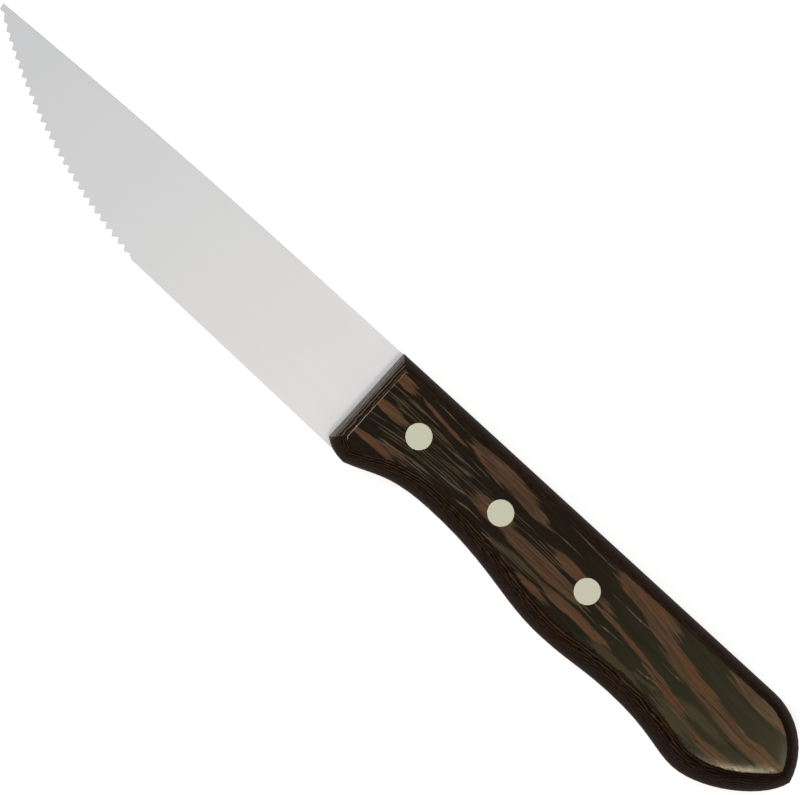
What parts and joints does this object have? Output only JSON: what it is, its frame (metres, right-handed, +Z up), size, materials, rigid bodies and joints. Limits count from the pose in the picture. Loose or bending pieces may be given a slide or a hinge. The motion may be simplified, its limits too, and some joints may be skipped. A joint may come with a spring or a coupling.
{
  "type": "steak knife",
  "caption": "Steak knife with a half-serrated blade, a full tang and a riveted laminated wood handle with a finger hollow and a pointed butt.",
  "frame": {"origin": "under the centre of the bounding box, in the flat face of the lower handle scale that the knife lies on", "axes": "+X along the knife from the tip to the butt, +Y from the cutting edge to the spine, +Z up through the thickness"},
  "size_m": [0.2542, 0.029, 0.0169],
  "materials": {
    "blade_steel": "satin stainless steel",
    "laminated_wood": "dark brown and black laminated wood under a gloss sealer",
    "rivet_metal": "satin, pale nickel silver tone, ground flush"
  },
  "bodies": {
    "root": {"blade_and_tang": "blade_steel", "lower_scale": "laminated_wood", "upper_scale": "laminated_wood", "front_rivet_sleeve": "rivet_metal", "front_rivet_post": "rivet_metal", "middle_rivet_sleeve": "rivet_metal", "middle_rivet_post": "rivet_metal", "rear_rivet_sleeve": "rivet_metal", "rear_rivet_post": "rivet_metal"}
  },
  "joints": []
}
